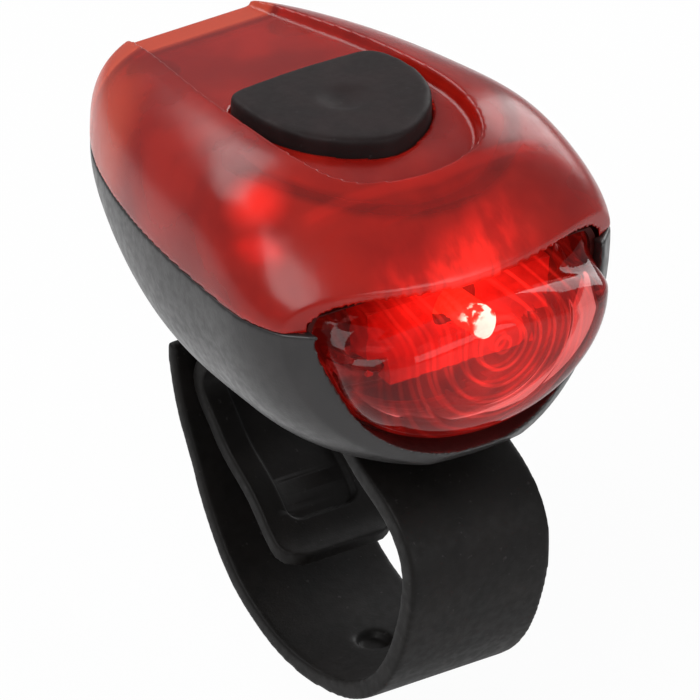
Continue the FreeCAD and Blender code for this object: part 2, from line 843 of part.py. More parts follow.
def make_housing():
    outer = hull_form("hull_outer", 0)
    inner = hull_form("hull_inner", size("wall"))
    arc = front_arc("bezel_arc", "bezel_bulge", "bezel_corner_inset")
    floor_cut = box("flat_bottom", BEYOND, 2 * BEYOND, 10, "0", -BEYOND, "-base_depth - 10")
    plain = cut("hull_plain", overlap("hull_front", outer, arc), floor_cut)

    def on_bezel(edge):
        first, last = edge.ParameterRange
        points = [edge.valueAt(first + (last - first) * step / 6) for step in range(7)]
        radius = arc.Radius.Value
        middle = arc.Placement.Base.y
        near = all(abs(math.hypot(p.x, p.y - middle) - radius) < 0.01 for p in points)
        return near and min(p.z for p in points) < -1

    block = bevel_edges("hull_block", plain, size("bezel_bevel"), on_bezel)
    cavity_front = box("cavity_limit", BEYOND, BEYOND, "base_depth - floor + 3", "0", "lens_seat",
                       "floor - base_depth")
    cavity = overlap("hull_cavity", inner, cavity_front)
    opening = lens_prism("lens_opening", 1.0, -8, 8 + size("lens_seat") + 0.2)
    bosses = []
    drills = []
    for side in (-1, 1):
        for label, x, y in (("front", f"{side} * screw_x", "front_screw_y"),
                            ("rear", f"{side} * rear_screw_x", "rear_screw_y")):
            bosses.append(rod(f"stand_{label}_{side}", "board_screw_radius + 0.9",
                              "base_depth - 1 + board_top - board_thickness", x, y,
                              "1 - base_depth"))
            drills.append(rod(f"stand_hole_{label}_{side}", "board_screw_radius", 6, x, y,
                              "board_top - 5.2"))
        x = f"{side} * shell_screw_x"
        bosses.append(rod(f"joint_boss_{side}", "shell_screw_radius + 1.4", "base_depth", x,
                          "shell_screw_y", "-base_depth"))
        drills.append(rod(f"joint_hole_{side}", "shell_screw_radius + fit", "base_depth", x,
                          "shell_screw_y", "-shell_screw_seat - 2"))
        drills.append(rod(f"joint_head_{side}", HEAD_RADIUS, "base_depth", x, "shell_screw_y",
                          "-shell_screw_seat - base_depth"))
    stops = []
    for label, y in (("front", "battery_front - 1.2"),
                     ("rear", "battery_front + battery_length + 0.3")):
        stops.append(box(f"battery_stop_{label}", "battery_width", 0.9, 4, "0", y,
                         "floor - base_depth - 0.2"))
    room = cut("hull_room", cavity, *bosses, *stops)
    solid = join("hull_solid", block, *strap_lugs(), *strap_peg())
    groove = seal_ring("seal_groove")
    pin_hole = rod("pin_hole", "strap_pin_radius", BEYOND, -BEYOND / 2, "strap_pin_y",
                   "strap_pin_z", "x")
    relief = rod("eye_relief", "strap_eye_radius + loose", "strap_eye_width + loose",
                 "-(strap_eye_width + loose) / 2", "strap_pin_y", "strap_pin_z", "x")
    tools = [relief, room, opening, *drills, groove, *flap_recess(), pin_hole]
    node("bottom_housing", cut("housing", solid, *tools))


def make_shell_screws():
    screws = []
    for side in (-1, 1):
        x = f"{side} * shell_screw_x"
        head_bottom = "-shell_screw_seat - screw_head_height"
        head = rod(f"shell_head_{side}", f"{HEAD_RADIUS} - fit", "screw_head_height", x,
                   "shell_screw_y", head_bottom)
        shank = rod(f"shell_shank_{side}", "shell_screw_radius", "shell_screw_length + 0.2", x,
                    "shell_screw_y", "-shell_screw_seat - 0.2")
        slot = box(f"shell_slot_{side}", 2.6, 0.6, 1.2, x, "shell_screw_y - 0.3",
                   f"{head_bottom} - 0.6")
        solid = join(f"shell_screw_solid_{side}", head, shank)
        screws.append(cut(f"shell_screw_{side}", solid, slot))
    node("housing_screws", group("shell_screw_pair", *screws))


# Strap, its pin and peg, and the rubber pad

def strap_lugs():
    lugs = []
    for side in (-1, 1):
        x = f"{side} * (strap_eye_width / 2 + lug_gap + lug_width / 2)"
        eye = rod(f"lug_eye_{side}", "strap_eye_radius", "lug_width",
                  f"{x} - lug_width / 2", "strap_pin_y", "strap_pin_z", "x")
        web = box(f"lug_web_{side}", "lug_width", "2 * strap_eye_radius", 5.6, x,
                  "strap_pin_y - strap_eye_radius", "strap_pin_z")
        lugs.append(join(f"lug_{side}", eye, web))
    return lugs


def strap_peg():
    stem = rod("peg_stem", "strap_peg_radius", 4, "0", "strap_peg_y", "-base_depth - 2.4")
    pegs = [stem]
    for side in (-1, 1):
        pegs.append(rod(f"pad_peg_{side}", "pad_peg_radius", 3, f"{side} * pad_peg_x", "pad_peg_y",
                        "-base_depth - 1.4"))
    return pegs


STRAP_OUTER = [
    (33.4, -16.2), (33.95, -17.8), (34.1, -19.2), (33.75, -21.1), (33.0, -23.6), (32.1, -25.7),
    (30.6, -28.4), (29.0, -31.6), (27.0, -34.7), (24.5, -37.6), (20.8, -40.1),
    (16.0, -41.8), (10.2, -42.0), (5.5, -40.9), (2.0, -38.7), (-0.6, -35.6),
    (-2.5, -31.3), (-3.5, -27.0), (-3.3, -23.7), (-1.8, -21.0), (1.2, -18.7),
    (4.7, -16.95), (8.2, -15.1), (10.4, -14.95), (12.6, -14.95),
]


STRAP_HOLE_FLOOR = 0.8


def offset_side(points, thickness):
    """Both edges of a band seen from the side; its thickness depends on the share run."""
    outer = [V(0, y, z) for y, z in points]
    inner = []
    last = len(outer) - 1
    for number, point in enumerate(outer):
        ahead = outer[min(number + 1, last)]
        behind = outer[max(number - 1, 0)]
        way = (ahead - behind).normalize()
        inner.append(point + V(0, way.z, -way.y) * thickness(number / last))
    return [curve(outer), line(outer[-1], inner[-1]), curve(inner), line(inner[0], outer[0])]


def strap_thickness(share):
    """Thin at the pin, full from three quarters on, and thinner again at the loose end."""
    back = size("strap_back_thickness")
    grown = back + (size("strap_front_thickness") - back) * min(1, share * 1.3)
    return grown * (1 - 0.18 * max(0, (share - 0.85) / 0.15))


def make_strap():
    face = outline("strap_side", *offset_side(STRAP_OUTER, strap_thickness))
    band = extrude("strap_band", face, V(1, 0, 0), "strap_width", True)
    eye = rod("strap_eye", "strap_eye_radius", "strap_eye_width", "-strap_eye_width / 2",
              "strap_pin_y", "strap_pin_z", "x")
    room = []
    for side in (-1, 1):
        room.append(box(f"lug_room_{side}", "lug_width + 1.0", "4 * strap_eye_radius",
                        "2 * strap_eye_radius + 0.2",
                        f"{side} * (strap_eye_width / 2 + lug_gap + lug_width / 2 + 0.2)",
                        "strap_pin_y - 2 * strap_eye_radius",
                        "strap_pin_z - strap_eye_radius - lug_gap"))
    bore = rod("strap_bore", "strap_pin_radius + fit / 2", BEYOND, -BEYOND / 2, "strap_pin_y",
               "strap_pin_z", "x")
    peg_hole = rod("strap_peg_hole", "strap_peg_radius + loose", 8, "0", "strap_peg_y",
                   "-base_depth - 6")
    low_hole = rod("strap_low_hole", "strap_hole_radius", 8, "0", "strap_hole_y",
                   min(z for _, z in STRAP_OUTER) + STRAP_HOLE_FLOOR)
    trimmed = cut("strap_trimmed", band, *room)
    solid = join("strap_solid", trimmed, eye)
    node("strap", cut("strap_piece", solid, bore, peg_hole, low_hole))


def make_strap_pin():
    half = "strap_eye_width / 2 + lug_gap + lug_width"
    pin = rod("pin", "strap_pin_radius", f"2 * ({half})", f"-({half})", "strap_pin_y",
              "strap_pin_z", "x")
    node("strap_pin", pin)


PAD_OUTER = [
    (15.0, -14.9), (20.0, -14.9), (25.2, -14.95), (28.2, -15.9), (29.9, -17.6),
    (31.0, -18.9), (31.9, -20.9), (31.3, -23.0), (29.9, -24.6), (27.8, -26.8),
    (23.9, -29.5), (22.1, -31.1), (20.1, -33.0), (17.3, -34.1),
]


def make_pad():
    thickness = size("mount_pad_thickness")
    face = outline("pad_side", *offset_side(PAD_OUTER, lambda share: thickness))
    band = extrude("pad_band", face, V(1, 0, 0), "mount_pad_width", True)
    tip = V(0, *PAD_OUTER[-1])

    def on_tip_corner(edge):
        points = [vertex.Point for vertex in edge.Vertexes]
        across = abs(points[0].x - points[-1].x) < 0.01
        beside = abs(points[0].x) > 1
        near = all(math.hypot(p.y - tip.y, p.z - tip.z) < thickness + 0.1 for p in points)
        return across and beside and near and len(points) == 2

    rounded = round_edges("pad_rounded", band, size("mount_pad_corner"), on_tip_corner)
    holes = []
    for side in (-1, 1):
        holes.append(rod(f"pad_hole_{side}", "pad_peg_radius + fit / 2", 6, f"{side} * pad_peg_x",
                         "pad_peg_y", "-base_depth - 4"))
    node("strap_pad", cut("pad", rounded, *holes))


def build_all():
    make_cover()
    make_housing()
    make_lens()
    make_lens_gasket()
    node("housing_seal", seal_ring("seal"))
    make_battery()
    make_main_board()
    make_board_screws()
    make_led_board()
    make_main_led()
    make_reflector()
    make_side_leds()
    make_chips()
    make_button()
    make_switch()
    make_socket()
    make_flap()
    make_shell_screws()
    make_strap()
    make_strap_pin()
    make_pad()
    doc.recompute()


def check_and_write():
    for item in doc.Objects:
        bad = [state for state in item.State if state in ("Invalid", "Error")]
        if bad:
            raise RuntimeError(f"{item.Name}: {bad}")
    os.makedirs("parts", exist_ok=True)
    for item in nodes:
        shape = item.Shape
        if shape.isNull() or not shape.isValid():
            raise RuntimeError(f"{item.Label}: its shape is not valid")
        box_of = shape.BoundBox
        print(f"{item.Label:16s} solids {len(shape.Solids)} volume {shape.Volume:9.2f} "
              f"x {box_of.XMin:7.2f} {box_of.XMax:7.2f} y {box_of.YMin:7.2f} {box_of.YMax:7.2f} "
              f"z {box_of.ZMin:7.2f} {box_of.ZMax:7.2f}")
        shape.exportStep(os.path.join("parts", item.Label + ".step"))


build_all()
check_and_write()
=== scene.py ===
import math

import bmesh
import bpy
import numpy as np
from mathutils import Matrix, Vector
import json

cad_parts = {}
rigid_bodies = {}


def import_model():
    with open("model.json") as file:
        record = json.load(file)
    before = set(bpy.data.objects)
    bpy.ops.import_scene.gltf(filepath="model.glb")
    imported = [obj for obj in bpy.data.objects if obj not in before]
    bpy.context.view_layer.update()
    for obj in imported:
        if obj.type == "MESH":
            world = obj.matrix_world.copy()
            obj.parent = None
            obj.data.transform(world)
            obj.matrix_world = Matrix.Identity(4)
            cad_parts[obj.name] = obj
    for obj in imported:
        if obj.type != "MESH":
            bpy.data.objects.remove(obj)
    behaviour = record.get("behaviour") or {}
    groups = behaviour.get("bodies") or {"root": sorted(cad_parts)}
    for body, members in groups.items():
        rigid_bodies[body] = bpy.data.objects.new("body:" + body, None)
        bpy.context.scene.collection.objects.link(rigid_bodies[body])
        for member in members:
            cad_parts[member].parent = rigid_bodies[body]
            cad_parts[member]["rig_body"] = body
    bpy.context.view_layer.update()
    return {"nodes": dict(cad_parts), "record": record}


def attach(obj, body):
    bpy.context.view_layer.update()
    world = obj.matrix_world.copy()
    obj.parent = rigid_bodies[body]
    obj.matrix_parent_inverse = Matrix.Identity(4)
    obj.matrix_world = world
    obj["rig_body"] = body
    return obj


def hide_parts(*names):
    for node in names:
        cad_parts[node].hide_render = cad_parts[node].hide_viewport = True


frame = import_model()

MM = 0.001
# the light's own frame, in millimetres, starts here in the part's frame
VISOR_Y = -9.9
PARTING_Z = 25.8

# Sizes shared with the part's source, in millimetres
SHELL_HALF_WIDTH = 18.6
BASE_DEPTH = 14.8
BEAM_Z = -2.4
LENS_SIDE_MARGIN = 3.6
LENS_BOTTOM_MARGIN = 1.3
LENS_HALF_WIDTH = SHELL_HALF_WIDTH - LENS_SIDE_MARGIN
LENS_DROP = BASE_DEPTH - LENS_BOTTOM_MARGIN
LENS_TOP = 1.0
FLANGE_FRONT = 2.1
FLANGE_BACK = 3.3
LENS_BULGE = 6.3
LENS_WALL = 1.3

# scales of the lens's outline, shared with the part's source too
SKIRT_SCALE = 0.95
FLANGE_SCALE = 1.02
BORE_SCALE = 0.86

# the dome's fullness, to the sides and below, and above: fuller than the CAD form
DOME_SQUARENESS = 3.3
DOME_TOP_SQUARENESS = 3.6


# Materials

class Look:
    """A node material around one Principled shader, in object coordinates."""

    def __init__(self, name, **sockets):
        self.material = bpy.data.materials.new(name)
        self.material.use_nodes = True
        self.tree = self.material.node_tree
        self.shader = self.tree.nodes["Principled BSDF"]
        self.coordinates = self.add("ShaderNodeTexCoord").outputs["Object"]
        for socket, value in sockets.items():
            self.shader.inputs[socket.replace("_", " ")].default_value = value

    def add(self, kind, **settings):
        item = self.tree.nodes.new(kind)
        for key, value in settings.items():
            setattr(item, key, value)
        return item

    def link(self, source, target):
        self.tree.links.new(source, target)

    def noise(self, size_mm, detail=3.0, stretch=None):
        """Noise whose grains are about size_mm across."""
        item = self.add("ShaderNodeTexNoise")
        item.inputs["Scale"].default_value = 1 / (size_mm * MM)
        item.inputs["Detail"].default_value = detail
        source = self.coordinates
        if stretch:
            scaled = self.add("ShaderNodeMapping")
            scaled.inputs["Scale"].default_value = stretch
            self.link(source, scaled.inputs["Vector"])
            source = scaled.outputs["Vector"]
        self.link(source, item.inputs["Vector"])
        return item.outputs["Fac"]

    def ranged(self, source, low, high, to_low=0.0, to_high=1.0):
        """A soft step from one value to another while the source goes from low to high."""
        item = self.add("ShaderNodeMapRange")
        item.interpolation_type = "SMOOTHSTEP"
        for key, value in zip(("From Min", "From Max", "To Min", "To Max"),
                              (low, high, to_low, to_high)):
            item.inputs[key].default_value = value
        self.link(source, item.inputs["Value"])
        return item.outputs["Result"]

    def axis(self, which):
        item = self.add("ShaderNodeSeparateXYZ")
        self.link(self.coordinates, item.inputs[0])
        return item.outputs[which]

    def maths(self, operation, first, second=0):
        """One step of arithmetic on numbers or other nodes' outputs."""
        item = self.add("ShaderNodeMath", operation=operation)
        for number, value in enumerate((first, second)):
            if isinstance(value, (int, float)):
                item.inputs[number].default_value = value
            else:
                self.link(value, item.inputs[number])
        return item.outputs[0]

    def product(self, first, second):
        return self.maths("MULTIPLY", first, second)

    def total(self, first, second):
        return self.maths("ADD", first, second)

    def distance(self, point_mm):
        """Distance in millimetres from a point of the part's frame."""
        item = self.add("ShaderNodeVectorMath", operation="DISTANCE")
        self.link(self.coordinates, item.inputs[0])
        item.inputs[1].default_value = [value * MM for value in point_mm]
        return self.product(item.outputs["Value"], 1 / MM)

    def mix(self, factor, first, second):
        """A blend of two colours, each a value or another node's output."""
        item = self.add("ShaderNodeMix", data_type="RGBA")
        self.link(factor, item.inputs["Factor"])
        for key, value in (("A", first), ("B", second)):
            socket = [s for s in item.inputs if s.name == key and s.type == "RGBA"][0]
            if isinstance(value, (tuple, list)):
                socket.default_value = (*value, 1.0)
            else:
                self.link(value, socket)
        return [s for s in item.outputs if s.type == "RGBA"][0]

    def colour(self, source, socket="Base Color"):
        self.link(source, self.shader.inputs[socket])

    def mottled(self, first, second, size_mm):
        """A base colour that drifts softly between two values."""
        factor = self.ranged(self.noise(size_mm), 0.35, 0.65)
        mixed = self.mix(factor, first, second)
        self.colour(mixed)
        return mixed

    def rough(self, low, high, size_mm):
        """A roughness that drifts between two values."""
        factor = self.ranged(self.noise(size_mm, 4), 0.3, 0.7, low, high)
        self.link(factor, self.shader.inputs["Roughness"])

    def bump(self, *layers):
        """Each layer is a grain size and a height, both in millimetres."""
        surface = None
        for size_mm, height in layers:
            layer = self.product(self.noise(size_mm, 2), height * MM)
            surface = layer if surface is None else self.total(surface, layer)
        item = self.add("ShaderNodeBump")
        item.inputs["Strength"].default_value = 1.0
        item.inputs["Distance"].default_value = 1.0
        self.link(surface, item.inputs["Height"])
        self.link(item.outputs["Normal"], self.shader.inputs["Normal"])


# Places in the part's frame, in millimetres
LED_POINT = (0.0, -12.4, 23.8)
HOT_POINT = (0.0, -13.4, 23.8)
SIDE_LED_POINT = (-10.0, 7.1, 25.4)
BEAM_POINT = (0.0, 0.0, PARTING_Z + BEAM_Z)

# light that shines through the cover: its place, its reach in millimetres and its strength
SIDE_GLOW = ((-14.4, 0.7, 34.3), 3.8, 0.45)
VISOR_GLOWS = [
    ((-6.0, -11.6, 28.2), 5.0, 0.26),
    ((0.0, -12.2, 28.4), 6.0, 0.42),
    ((4.0, -10.0, 30.6), 5.0, 0.16),
]

# painted shade: a darker band along the channel's round front wall
CHANNEL_CENTRE = (0.0, 6.0, 34.5)
CHANNEL_RADIUS = 13.4
WALL_START_Y = 8
WALL_FULL_Y = 2

# painted glow: the inner frame, seen through the cover as a paler line
RIB_Y = -5.2
RIB_SLANT = -0.12
RIB_HALF_LENGTH = 13.0
RIB_FADE = 1.5
RIB_GLOW_STRENGTH = 0.10

# the rear rim, paler and with painted glow where the wall is seen edge-on, and the dark line before it
RIM_LINE_Y = 27.6
RIM_START_Y = 28.4
RIM_FULL_Y = 29.4
RIM_CORNER = (-16.5, 27.0, 30.0)
RIM_GLOW_STRENGTH = 0.05

# the cover's reds
COVER_DEEP = (0.44, 0.009, 0.005)
COVER_BRIGHT = (0.66, 0.022, 0.011)
# painted shade for the channel's front wall, and the darker line before the rim
COVER_SHADE_AND_DARK_LINE = (0.20, 0.010, 0.007)
# painted light: the rear rim's paler orange where the wall is seen edge-on
COVER_LIT_RIM = (0.80, 0.13, 0.06)
COVER_GLOW = (1.0, 0.025, 0.015, 1)

# where the painted shade on the shell's front-facing bezel begins and ends
BEZEL_START_Y = -8.5
BEZEL_FULL_Y = -10.0


def rim_share(look, along):
    """1 on the rear rim's painted light and part of that at its corner, 0 elsewhere."""
    rim = look.ranged(along, RIM_START_Y * MM, RIM_FULL_Y * MM)
    corner = look.ranged(look.distance(RIM_CORNER), 10.0, 4.0)
    return look.maths("MAXIMUM", rim, look.product(corner, 0.7))


def dark_share(look, along):
    """How much the line before the rim is darkened, and how much painted shade lies on the channel's
    front wall.
    """
    inner_line = look.ranged(along, RIM_LINE_Y * MM, RIM_START_Y * MM)
    off_wall = look.maths("SUBTRACT", look.distance(CHANNEL_CENTRE), CHANNEL_RADIUS)
    wall_shade = look.ranged(look.maths("ABSOLUTE", off_wall), 1.1, 0.2)
    wall_shade = look.product(wall_shade, look.ranged(along, WALL_START_Y * MM, WALL_FULL_Y * MM))
    return look.maths("MAXIMUM", look.product(inner_line, 0.7), look.product(wall_shade, 0.6))


def spot(look, place, reach, strength):
    """A soft round spot of light in the cover."""
    shape = look.ranged(look.distance(place), reach, reach * 0.1)
    return look.product(shape, strength)


def emitter_glow(look):
    """The emitters' light in the cover, streaky over the visor."""
    glow = look.product(look.ranged(look.distance(LED_POINT), 15.0, 5.0), 0.06)
    for light in VISOR_GLOWS:
        glow = look.total(glow, spot(look, *light))
    streaks = look.ranged(look.noise(1.6, 3, (1.0, 0.45, 0.45)), 0.35, 0.65, 0.45, 1.35)
    return look.total(look.product(glow, streaks), spot(look, *SIDE_GLOW))


def rib_glow(look, along):
    """The inner frame, as a paler line of painted glow across the cover."""
    across = look.maths("ABSOLUTE", look.axis("X"))
    slant = look.total(along, look.product(across, RIB_SLANT))
    off_rib = look.maths("ABSOLUTE", look.maths("SUBTRACT", slant, RIB_Y * MM))
    rib_end = look.ranged(across, RIB_HALF_LENGTH * MM, (RIB_HALF_LENGTH - RIB_FADE) * MM)
    rib = look.product(look.ranged(off_rib, 0.8 * MM, 0.2 * MM), rib_end)
    return look.product(rib, RIB_GLOW_STRENGTH)


def red_cover_look():
    """Translucent satin red with painted glow from inside, painted shade at the channel's front wall
    and a paler, painted lit rear rim.
    """
    look = Look("red_cover_plastic", IOR=1.49, Transmission_Weight=0.55, Specular_IOR_Level=0.3)
    body = look.mix(look.ranged(look.noise(8.0), 0.3, 0.7), COVER_DEEP, COVER_BRIGHT)
    along = look.axis("Y")
    rim = rim_share(look, along)
    # painted shade on the channel's front wall, and the darker line before the rim
    banded = look.mix(dark_share(look, along), body, COVER_SHADE_AND_DARK_LINE)
    look.colour(look.mix(rim, banded, COVER_LIT_RIM))
    look.rough(0.20, 0.262, 1.6)
    look.bump((0.35, 0.003), (3.0, 0.015))
    glow = look.total(emitter_glow(look), rib_glow(look, along))
    # painted glow on the rear rim
    glow = look.total(glow, look.product(rim, RIM_GLOW_STRENGTH))
    look.link(glow, look.shader.inputs["Emission Strength"])
    look.shader.inputs["Emission Color"].default_value = COVER_GLOW
    return look.material


def shell_look():
    """Dark grey satin plastic with a fine grain, and painted shade on the front-facing bezel."""
    look = Look("grey_shell_plastic", Specular_IOR_Level=0.5, Coat_Weight=0.12,
                Coat_Roughness=0.25)
    base = look.mottled((0.014, 0.012, 0.012), (0.022, 0.019, 0.019), 5.0)
    bezel_shade = look.ranged(look.axis("Y"), BEZEL_START_Y * MM, BEZEL_FULL_Y * MM)
    # painted shade: the bezel, which faces the front, darker
    look.colour(look.mix(bezel_shade, base, (0.017, 0.015, 0.015)))
    look.rough(0.30, 0.42, 0.9)
    look.bump((0.22, 0.012), (1.8, 0.02))
    return look.material


def rubber_look(name, first, second, low, high, grain):
    """Matte rubber with a little dust; the grain's size is in millimetres."""
    look = Look(name, Specular_IOR_Level=0.20, Sheen_Weight=0.02, Sheen_Roughness=0.5)
    base = look.mottled(first, second, 4.0)
    dust = look.ranged(look.noise(0.6, 5), 0.66, 0.74)
    look.colour(look.mix(look.product(dust, 0.2), base, (0.09, 0.08, 0.08)))
    look.rough(low, high, 0.8)
    look.bump((grain, 0.010), (2.2, 0.03))
    return look.material


# how closely the lens's lit rings follow each other
LENS_RING_SCALE = 200.0


def lens_look():
    """Smoky glass that catches the emitter's light, most of all at its moulded rings."""
    look = Look("lens_clear_plastic", IOR=1.30, Transmission_Weight=1.0, Roughness=0.02,
                Specular_IOR_Level=0.3)
    look.mottled((0.74, 0.18, 0.17), (0.66, 0.13, 0.125), 7.0)
    look.bump((4.0, 0.02))
    centred = look.add("ShaderNodeMapping")
    centred.inputs["Location"].default_value = [-value * MM for value in BEAM_POINT]
    look.link(look.coordinates, centred.inputs["Vector"])
    rings = look.add("ShaderNodeTexWave", wave_type="RINGS", rings_direction="Y")
    rings.inputs["Scale"].default_value = LENS_RING_SCALE
    rings.inputs["Distortion"].default_value = 0.6
    rings.inputs["Detail"].default_value = 1.0
    look.link(centred.outputs["Vector"], rings.inputs["Vector"])
    lit = look.ranged(look.distance(LED_POINT), 12.0, 2.0, 0.04, 0.30)
    lines = look.ranged(rings.outputs["Fac"], 0.80, 0.98, 0.75, 1.9)
    drift = look.ranged(look.noise(3.0, 3), 0.3, 0.7, 0.6, 1.3)
    glow = look.product(look.product(lit, lines), drift)
    look.link(glow, look.shader.inputs["Emission Strength"])
    look.shader.inputs["Emission Color"].default_value = (1.0, 0.03, 0.02, 1)
    return look.material


# how much the lit plastic's brightness varies
GLOW_STREAK = 0.35


def glow_look(name, colour, strength, falloff, centre):
    """Lit red plastic that is brightest near the emitter."""
    look = Look(name, Roughness=0.3, Specular_IOR_Level=0.5)
    look.mottled((0.55, 0.02, 0.012), (0.75, 0.05, 0.03), 2.0)
    near = look.ranged(look.distance(centre), falloff, 0.5)
    streaks = look.noise(1.3, 4, (1.0, 1.0, 0.35))
    drift = look.ranged(streaks, 0.3, 0.7, 1.0 - GLOW_STREAK, 1.0 + GLOW_STREAK)
    base = look.total(look.product(near, strength), strength * 0.14)
    look.link(look.product(base, drift), look.shader.inputs["Emission Strength"])
    look.shader.inputs["Emission Color"].default_value = (*colour, 1)
    look.bump((0.6, 0.03))
    return look.material


def emitter_look():
    """The forward emitter: nearly white in its core and red round it."""
    look = Look("emitter_hot", Roughness=0.2)
    look.mottled((1.0, 0.55, 0.45), (1.0, 0.8, 0.7), 0.6)
    drift = look.ranged(look.noise(0.9, 3), 0.35, 0.6, 0.6, 1.2)
    core = look.ranged(look.product(look.distance(HOT_POINT), drift), 1.6, 1.0)
    look.link(look.total(look.product(core, 7.0), 0.7),
              look.shader.inputs["Emission Strength"])
    look.colour(look.mix(core, (1.0, 0.10, 0.03), (1.0, 0.80, 0.70)), "Emission Color")
    return look.material


def metal_look(name, first, second, low, high):
    """Finely grained metal between two colours and two roughnesses."""
    look = Look(name, Metallic=1.0)
    look.mottled(first, second, 0.8)
    look.rough(low, high, 0.25)
    look.bump((0.15, 0.004), (0.9, 0.006))
    return look.material


def plastic_look(name, first, second, low, high):
    """Plain moulded plastic with a fine grain."""
    look = Look(name, Specular_IOR_Level=0.5)
    look.mottled(first, second, 1.5)
    look.rough(low, high, 0.5)
    look.bump((0.2, 0.006))
    return look.material


def board_look():
    """Lacquered green board with paler tracks."""
    look = Look("board_green", Specular_IOR_Level=0.5, Coat_Weight=0.4, Coat_Roughness=0.15)
    base = look.mottled((0.010, 0.060, 0.026), (0.016, 0.085, 0.036), 3.0)
    tracks = look.add("ShaderNodeTexWave", wave_type="BANDS", bands_direction="X")
    tracks.inputs["Scale"].default_value = 900
    tracks.inputs["Distortion"].default_value = 2.5
    tracks.inputs["Detail"].default_value = 1.0
    look.link(look.coordinates, tracks.inputs["Vector"])
    lines = look.ranged(tracks.outputs["Fac"], 0.72, 0.80)
    look.colour(look.mix(lines, base, (0.030, 0.150, 0.060)))
    look.rough(0.3, 0.45, 0.6)
    look.bump((0.5, 0.01))
    return look.material


LOOKS = {
    "red_cover": red_cover_look(),
    "grey_shell": shell_look(),
    "lens_clear": lens_look(),
    "seal_rubber": rubber_look("seal_rubber_red_dark", (0.045, 0.004, 0.003),
                               (0.07, 0.007, 0.005), 0.45, 0.6, 0.2),
    "button_rubber": rubber_look("button_rubber_soft", (0.011, 0.006, 0.006),
                                 (0.017, 0.009, 0.009), 0.52, 0.62, 0.16),
    "strap_rubber": rubber_look("strap_silicone", (0.0030, 0.0022, 0.0018),
                                (0.0050, 0.0036, 0.0030), 0.48, 0.60, 0.2),
    "board_green": board_look(),
    "red_light_guide": glow_look("light_guide_lit", (1.0, 0.035, 0.02), 0.55, 11.0, LED_POINT),
    "led": emitter_look(),
    "black_plastic": plastic_look("black_parts", (0.014, 0.014, 0.015), (0.022, 0.022, 0.023),
                                  0.4, 0.55),
    "cell_foil": metal_look("cell_foil", (0.62, 0.62, 0.64), (0.50, 0.50, 0.52), 0.3, 0.5),
    "foam": rubber_look("foam_grey", (0.05, 0.05, 0.05), (0.08, 0.08, 0.08), 0.8, 0.95, 0.5),
    "nickel": metal_look("nickel", (0.72, 0.70, 0.64), (0.60, 0.58, 0.53), 0.18, 0.34),
    "steel": metal_look("zinc_steel", (0.52, 0.53, 0.55), (0.42, 0.43, 0.45), 0.25, 0.42),
}
LOOKS["side_led"] = glow_look("side_emitter", (1.0, 0.10, 0.05), 3.0, 4.0, SIDE_LED_POINT)

slot_of = {part["node"]: part["material_slot"] for part in frame["record"]["subparts"]}

# softened edges of the CAD nodes that stay: their width, and the least angle in degrees
EDGE_ROUNDING = 0.08 * MM
EDGE_ANGLE = 40


def finish_node(name, look):
    """A better material and softened edges on a CAD node that stays."""
    item = frame["nodes"][name]
    material = LOOKS[look]
    if not item.material_slots:
        item.data.materials.append(material)
    for place in item.material_slots:
        place.material = material
    rounding = item.modifiers.new("edge_rounding", "BEVEL")
    rounding.width = EDGE_ROUNDING
    rounding.segments = 2
    rounding.limit_method = "ANGLE"
    rounding.angle_limit = math.radians(EDGE_ANGLE)
    rounding.harden_normals = False


# Pieces with moulded edges, made from the CAD form

def new_piece(name, vertices, faces, body, slot, node):
    """A new mesh piece, in metres, in place of a CAD node."""
    mesh = bpy.data.meshes.new(name)
    mesh.from_pydata([tuple(point) for point in vertices], [], faces)
    mesh.update()
    item = bpy.data.objects.new(name, mesh)
    bpy.context.scene.collection.objects.link(item)
    dress(item, body, slot, node)
    return item


def dress(item, body, slot, node):
    """Gives a new piece its look and its body, in place of a CAD node."""
    item.data.materials.clear()
    item.data.materials.append(LOOKS[slot])
    item.data.polygons.foreach_set("use_smooth", [True] * len(item.data.polygons))
    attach(item, body)
    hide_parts(node)


def applied(item, kind, **settings):
    """Adds a modifier and keeps its result as the mesh."""
    modifier = item.modifiers.new(kind.lower(), kind)
    for key, value in settings.items():
        setattr(modifier, key, value)
    graph = bpy.context.evaluated_depsgraph_get()
    mesh = bpy.data.meshes.new_from_object(item.evaluated_get(graph))
    item.modifiers.clear()
    old = item.data
    item.data = mesh
    bpy.data.meshes.remove(old)


def points_of(mesh):
    flat = np.empty(len(mesh.vertices) * 3)
    mesh.vertices.foreach_get("co", flat)
    return flat.reshape(-1, 3)


def edges_of(mesh):
    flat = np.empty(len(mesh.edges) * 2, dtype=np.int64)
    mesh.edges.foreach_get("vertices", flat)
    return flat.reshape(-1, 2)


# how far a point moves in one pass, and the millimetres within which points merge
SMOOTH_SHARE = 0.5
MERGE_DISTANCE = 0.002


def smoothed(points, edges, passes, weight=None):
    """Moves each point towards the mean of its neighbours."""
    count = len(points)
    degree = np.bincount(edges.ravel(), minlength=count)
    for _ in range(passes):
        total = np.empty_like(points)
        for axis in range(3):
            total[:, axis] = np.bincount(edges[:, 0], points[edges[:, 1], axis], count)
            total[:, axis] += np.bincount(edges[:, 1], points[edges[:, 0], axis], count)
        step = (total / degree[:, None] - points) * SMOOTH_SHARE
        if weight is not None:
            step *= weight[:, None]
        points = points + step
    return points


